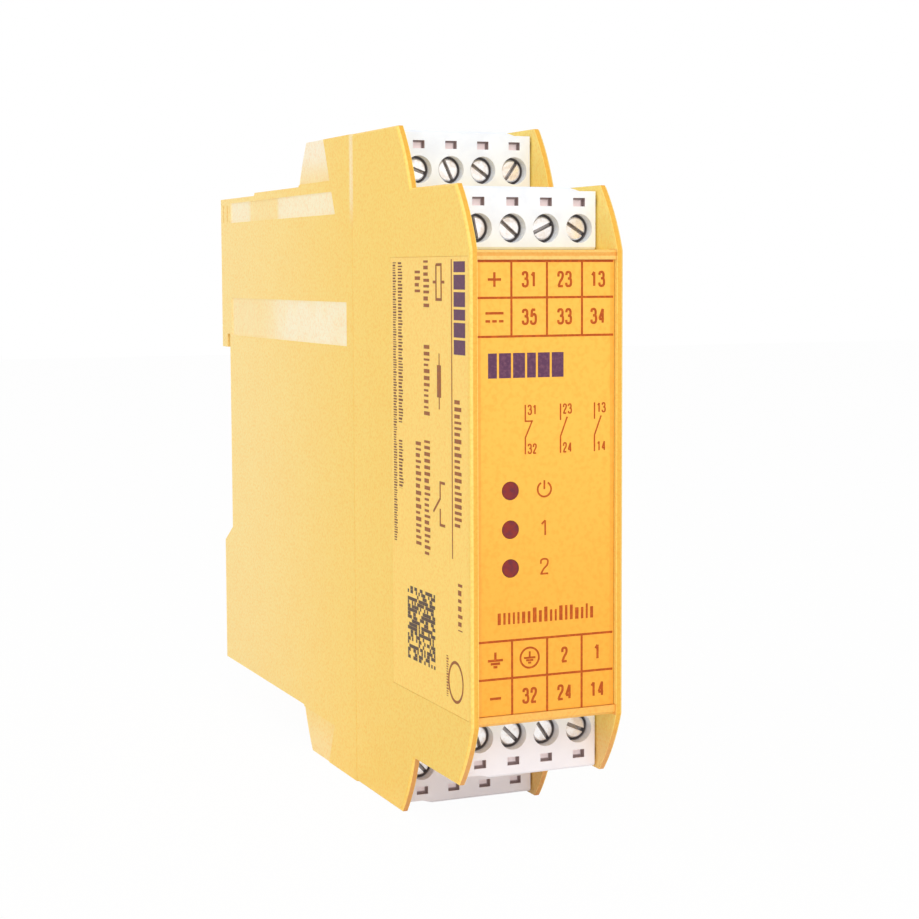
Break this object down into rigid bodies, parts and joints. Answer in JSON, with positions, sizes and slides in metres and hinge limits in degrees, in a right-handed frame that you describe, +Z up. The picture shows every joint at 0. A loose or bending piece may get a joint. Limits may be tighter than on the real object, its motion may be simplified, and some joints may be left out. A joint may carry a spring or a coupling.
{
  "type": "safety relay",
  "caption": "Slim yellow rail-mounted safety relay with stepped side plates, plug-in screw terminals with working clamps, signal lamps and a sprung rail latch.",
  "frame": {"origin": "middle of the rail seat, the flat face in the back that lies on the mounting rail", "axes": "+X to the right seen from the front, -Y towards the front label, +Z up"},
  "size_m": [0.0226, 0.1145, 0.099],
  "materials": {
    "shell_yellow": "fine-textured moulded yellow plastic",
    "film_front": "satin printed film",
    "film_side": "satin printed film",
    "plug_white": "smooth moulded white plastic",
    "screw_zinc": "zinc-plated turned steel",
    "cage_zinc": "zinc-plated steel",
    "contact_tin": "tinned brass strip",
    "pin_tin": "tinned brass pin",
    "header_dark": "black moulded plastic",
    "board_green": "green solder mask",
    "relay_case": "sealed white case",
    "guide_red": "dark red clear plastic",
    "lamp_case": "lamp case",
    "can_metal": "aluminium can",
    "coil_tape": "taped winding and bobbin",
    "chip_black": "moulded package",
    "fuse_glass": "glass tube with metal caps",
    "latch_yellow": "moulded yellow plastic",
    "spring_steel": "spring wire"
  },
  "bodies": {
    "housing": {"front_housing": "shell_yellow", "rear_housing": "shell_yellow", "front_label": "film_front", "side_label": "film_side", "light_guides": "guide_red", "header_pins": "pin_tin", "main_board": "board_green", "relay_1": "relay_case", "relay_2": "relay_case", "signal_lamps": "lamp_case", "smoothing_capacitors": "can_metal", "supply_transformer": "coil_tape", "controllers": "chip_black", "fuse": "fuse_glass", "latch_spring": "spring_steel", "header_top_rear": "header_dark", "header_top_front": "header_dark", "header_bottom_front": "header_dark", "header_bottom_rear": "header_dark"},
    "latch": {"rail_latch": "latch_yellow"},
    "top_rear_plug": {"plug_top_rear": "plug_white", "contacts_top_rear": "contact_tin"},
    "top_rear_screw_1": {"screw_top_rear_1": "screw_zinc"},
    "top_rear_cage_1": {"cage_top_rear_1": "cage_zinc"},
    "top_rear_screw_2": {"screw_top_rear_2": "screw_zinc"},
    "top_rear_cage_2": {"cage_top_rear_2": "cage_zinc"},
    "top_rear_screw_3": {"screw_top_rear_3": "screw_zinc"},
    "top_rear_cage_3": {"cage_top_rear_3": "cage_zinc"},
    "top_rear_screw_4": {"screw_top_rear_4": "screw_zinc"},
    "top_rear_cage_4": {"cage_top_rear_4": "cage_zinc"},
    "top_front_plug": {"plug_top_front": "plug_white", "contacts_top_front": "contact_tin"},
    "top_front_screw_1": {"screw_top_front_1": "screw_zinc"},
    "top_front_cage_1": {"cage_top_front_1": "cage_zinc"},
    "top_front_screw_2": {"screw_top_front_2": "screw_zinc"},
    "top_front_cage_2": {"cage_top_front_2": "cage_zinc"},
    "top_front_screw_3": {"screw_top_front_3": "screw_zinc"},
    "top_front_cage_3": {"cage_top_front_3": "cage_zinc"},
    "top_front_screw_4": {"screw_top_front_4": "screw_zinc"},
    "top_front_cage_4": {"cage_top_front_4": "cage_zinc"},
    "bottom_front_plug": {"plug_bottom_front": "plug_white", "contacts_bottom_front": "contact_tin"},
    "bottom_front_screw_1": {"screw_bottom_front_1": "screw_zinc"},
    "bottom_front_cage_1": {"cage_bottom_front_1": "cage_zinc"},
    "bottom_front_screw_2": {"screw_bottom_front_2": "screw_zinc"},
    "bottom_front_cage_2": {"cage_bottom_front_2": "cage_zinc"},
    "bottom_front_screw_3": {"screw_bottom_front_3": "screw_zinc"},
    "bottom_front_cage_3": {"cage_bottom_front_3": "cage_zinc"},
    "bottom_front_screw_4": {"screw_bottom_front_4": "screw_zinc"},
    "bottom_front_cage_4": {"cage_bottom_front_4": "cage_zinc"},
    "bottom_rear_plug": {"plug_bottom_rear": "plug_white", "contacts_bottom_rear": "contact_tin"},
    "bottom_rear_screw_1": {"screw_bottom_rear_1": "screw_zinc"},
    "bottom_rear_cage_1": {"cage_bottom_rear_1": "cage_zinc"},
    "bottom_rear_screw_2": {"screw_bottom_rear_2": "screw_zinc"},
    "bottom_rear_cage_2": {"cage_bottom_rear_2": "cage_zinc"},
    "bottom_rear_screw_3": {"screw_bottom_rear_3": "screw_zinc"},
    "bottom_rear_cage_3": {"cage_bottom_rear_3": "cage_zinc"},
    "bottom_rear_screw_4": {"screw_bottom_rear_4": "screw_zinc"},
    "bottom_rear_cage_4": {"cage_bottom_rear_4": "cage_zinc"}
  },
  "joints": [
    {"name": "latch_slide", "type": "slide", "parent": "housing", "child": "latch", "axis": [0, 0, -1], "range_m": [0, 0.003], "stiffness_N_per_m": 900, "springref_m": -0.003, "deforming": ["latch_spring"]},
    {"name": "top_rear_plug_pull", "type": "slide", "parent": "housing", "child": "top_rear_plug", "axis": [0, -1, 0], "range_m": [0, 0.018]},
    {"name": "top_rear_screw_1_turn", "type": "hinge", "parent": "top_rear_plug", "child": "top_rear_screw_1", "pos_m": [-0.0075, -0.08155, 0.04345], "axis": [0, 1, 0], "range_deg": [0, 1800]},
    {"name": "top_rear_cage_1_slide", "type": "slide", "parent": "top_rear_plug", "child": "top_rear_cage_1", "axis": [0, -1, 0], "range_m": [0, 0.00225]},
    {"name": "top_rear_screw_2_turn", "type": "hinge", "parent": "top_rear_plug", "child": "top_rear_screw_2", "pos_m": [-0.0025, -0.08155, 0.04345], "axis": [0, 1, 0], "range_deg": [0, 1800]},
    {"name": "top_rear_cage_2_slide", "type": "slide", "parent": "top_rear_plug", "child": "top_rear_cage_2", "axis": [0, -1, 0], "range_m": [0, 0.00225]},
    {"name": "top_rear_screw_3_turn", "type": "hinge", "parent": "top_rear_plug", "child": "top_rear_screw_3", "pos_m": [0.0025, -0.08155, 0.04345], "axis": [0, 1, 0], "range_deg": [0, 1800]},
    {"name": "top_rear_cage_3_slide", "type": "slide", "parent": "top_rear_plug", "child": "top_rear_cage_3", "axis": [0, -1, 0], "range_m": [0, 0.00225]},
    {"name": "top_rear_screw_4_turn", "type": "hinge", "parent": "top_rear_plug", "child": "top_rear_screw_4", "pos_m": [0.0075, -0.08155, 0.04345], "axis": [0, 1, 0], "range_deg": [0, 1800]},
    {"name": "top_rear_cage_4_slide", "type": "slide", "parent": "top_rear_plug", "child": "top_rear_cage_4", "axis": [0, -1, 0], "range_m": [0, 0.00225]},
    {"name": "top_front_plug_pull", "type": "slide", "parent": "housing", "child": "top_front_plug", "axis": [0, -1, 0], "range_m": [0, 0.018]},
    {"name": "top_front_screw_1_turn", "type": "hinge", "parent": "top_front_plug", "child": "top_front_screw_1", "pos_m": [-0.0075, -0.10255, 0.03465], "axis": [0, 1, 0], "range_deg": [0, 1800]},
    {"name": "top_front_cage_1_slide", "type": "slide", "parent": "top_front_plug", "child": "top_front_cage_1", "axis": [0, -1, 0], "range_m": [0, 0.00225]},
    {"name": "top_front_screw_2_turn", "type": "hinge", "parent": "top_front_plug", "child": "top_front_screw_2", "pos_m": [-0.0025, -0.10255, 0.03465], "axis": [0, 1, 0], "range_deg": [0, 1800]},
    {"name": "top_front_cage_2_slide", "type": "slide", "parent": "top_front_plug", "child": "top_front_cage_2", "axis": [0, -1, 0], "range_m": [0, 0.00225]},
    {"name": "top_front_screw_3_turn", "type": "hinge", "parent": "top_front_plug", "child": "top_front_screw_3", "pos_m": [0.0025, -0.10255, 0.03465], "axis": [0, 1, 0], "range_deg": [0, 1800]},
    {"name": "top_front_cage_3_slide", "type": "slide", "parent": "top_front_plug", "child": "top_front_cage_3", "axis": [0, -1, 0], "range_m": [0, 0.00225]},
    {"name": "top_front_screw_4_turn", "type": "hinge", "parent": "top_front_plug", "child": "top_front_screw_4", "pos_m": [0.0075, -0.10255, 0.03465], "axis": [0, 1, 0], "range_deg": [0, 1800]},
    {"name": "top_front_cage_4_slide", "type": "slide", "parent": "top_front_plug", "child": "top_front_cage_4", "axis": [0, -1, 0], "range_m": [0, 0.00225]},
    {"name": "bottom_front_plug_pull", "type": "slide", "parent": "housing", "child": "bottom_front_plug", "axis": [0, -1, 0], "range_m": [0, 0.018]},
    {"name": "bottom_front_screw_1_turn", "type": "hinge", "parent": "bottom_front_plug", "child": "bottom_front_screw_1", "pos_m": [-0.0075, -0.10255, -0.03465], "axis": [0, 1, 0], "range_deg": [0, 1800]},
    {"name": "bottom_front_cage_1_slide", "type": "slide", "parent": "bottom_front_plug", "child": "bottom_front_cage_1", "axis": [0, -1, 0], "range_m": [0, 0.00225]},
    {"name": "bottom_front_screw_2_turn", "type": "hinge", "parent": "bottom_front_plug", "child": "bottom_front_screw_2", "pos_m": [-0.0025, -0.10255, -0.03465], "axis": [0, 1, 0], "range_deg": [0, 1800]},
    {"name": "bottom_front_cage_2_slide", "type": "slide", "parent": "bottom_front_plug", "child": "bottom_front_cage_2", "axis": [0, -1, 0], "range_m": [0, 0.00225]},
    {"name": "bottom_front_screw_3_turn", "type": "hinge", "parent": "bottom_front_plug", "child": "bottom_front_screw_3", "pos_m": [0.0025, -0.10255, -0.03465], "axis": [0, 1, 0], "range_deg": [0, 1800]},
    {"name": "bottom_front_cage_3_slide", "type": "slide", "parent": "bottom_front_plug", "child": "bottom_front_cage_3", "axis": [0, -1, 0], "range_m": [0, 0.00225]},
    {"name": "bottom_front_screw_4_turn", "type": "hinge", "parent": "bottom_front_plug", "child": "bottom_front_screw_4", "pos_m": [0.0075, -0.10255, -0.03465], "axis": [0, 1, 0], "range_deg": [0, 1800]},
    {"name": "bottom_front_cage_4_slide", "type": "slide", "parent": "bottom_front_plug", "child": "bottom_front_cage_4", "axis": [0, -1, 0], "range_m": [0, 0.00225]},
    {"name": "bottom_rear_plug_pull", "type": "slide", "parent": "housing", "child": "bottom_rear_plug", "axis": [0, -1, 0], "range_m": [0, 0.018]},
    {"name": "bottom_rear_screw_1_turn", "type": "hinge", "parent": "bottom_rear_plug", "child": "bottom_rear_screw_1", "pos_m": [-0.0075, -0.08155, -0.04345], "axis": [0, 1, 0], "range_deg": [0, 1800]},
    {"name": "bottom_rear_cage_1_slide", "type": "slide", "parent": "bottom_rear_plug", "child": "bottom_rear_cage_1", "axis": [0, -1, 0], "range_m": [0, 0.00225]},
    {"name": "bottom_rear_screw_2_turn", "type": "hinge", "parent": "bottom_rear_plug", "child": "bottom_rear_screw_2", "pos_m": [-0.0025, -0.08155, -0.04345], "axis": [0, 1, 0], "range_deg": [0, 1800]},
    {"name": "bottom_rear_cage_2_slide", "type": "slide", "parent": "bottom_rear_plug", "child": "bottom_rear_cage_2", "axis": [0, -1, 0], "range_m": [0, 0.00225]},
    {"name": "bottom_rear_screw_3_turn", "type": "hinge", "parent": "bottom_rear_plug", "child": "bottom_rear_screw_3", "pos_m": [0.0025, -0.08155, -0.04345], "axis": [0, 1, 0], "range_deg": [0, 1800]},
    {"name": "bottom_rear_cage_3_slide", "type": "slide", "parent": "bottom_rear_plug", "child": "bottom_rear_cage_3", "axis": [0, -1, 0], "range_m": [0, 0.00225]},
    {"name": "bottom_rear_screw_4_turn", "type": "hinge", "parent": "bottom_rear_plug", "child": "bottom_rear_screw_4", "pos_m": [0.0075, -0.08155, -0.04345], "axis": [0, 1, 0], "range_deg": [0, 1800]},
    {"name": "bottom_rear_cage_4_slide", "type": "slide", "parent": "bottom_rear_plug", "child": "bottom_rear_cage_4", "axis": [0, -1, 0], "range_m": [0, 0.00225]}
  ],
  "couplings": [
    {"joint": "top_rear_screw_1_turn", "follows": "top_rear_cage_1_slide", "rad_per_m": 13963},
    {"joint": "top_rear_screw_2_turn", "follows": "top_rear_cage_2_slide", "rad_per_m": 13963},
    {"joint": "top_rear_screw_3_turn", "follows": "top_rear_cage_3_slide", "rad_per_m": 13963},
    {"joint": "top_rear_screw_4_turn", "follows": "top_rear_cage_4_slide", "rad_per_m": 13963},
    {"joint": "top_front_screw_1_turn", "follows": "top_front_cage_1_slide", "rad_per_m": 13963},
    {"joint": "top_front_screw_2_turn", "follows": "top_front_cage_2_slide", "rad_per_m": 13963},
    {"joint": "top_front_screw_3_turn", "follows": "top_front_cage_3_slide", "rad_per_m": 13963},
    {"joint": "top_front_screw_4_turn", "follows": "top_front_cage_4_slide", "rad_per_m": 13963},
    {"joint": "bottom_front_screw_1_turn", "follows": "bottom_front_cage_1_slide", "rad_per_m": 13963},
    {"joint": "bottom_front_screw_2_turn", "follows": "bottom_front_cage_2_slide", "rad_per_m": 13963},
    {"joint": "bottom_front_screw_3_turn", "follows": "bottom_front_cage_3_slide", "rad_per_m": 13963},
    {"joint": "bottom_front_screw_4_turn", "follows": "bottom_front_cage_4_slide", "rad_per_m": 13963},
    {"joint": "bottom_rear_screw_1_turn", "follows": "bottom_rear_cage_1_slide", "rad_per_m": 13963},
    {"joint": "bottom_rear_screw_2_turn", "follows": "bottom_rear_cage_2_slide", "rad_per_m": 13963},
    {"joint": "bottom_rear_screw_3_turn", "follows": "bottom_rear_cage_3_slide", "rad_per_m": 13963},
    {"joint": "bottom_rear_screw_4_turn", "follows": "bottom_rear_cage_4_slide", "rad_per_m": 13963}
  ]
}
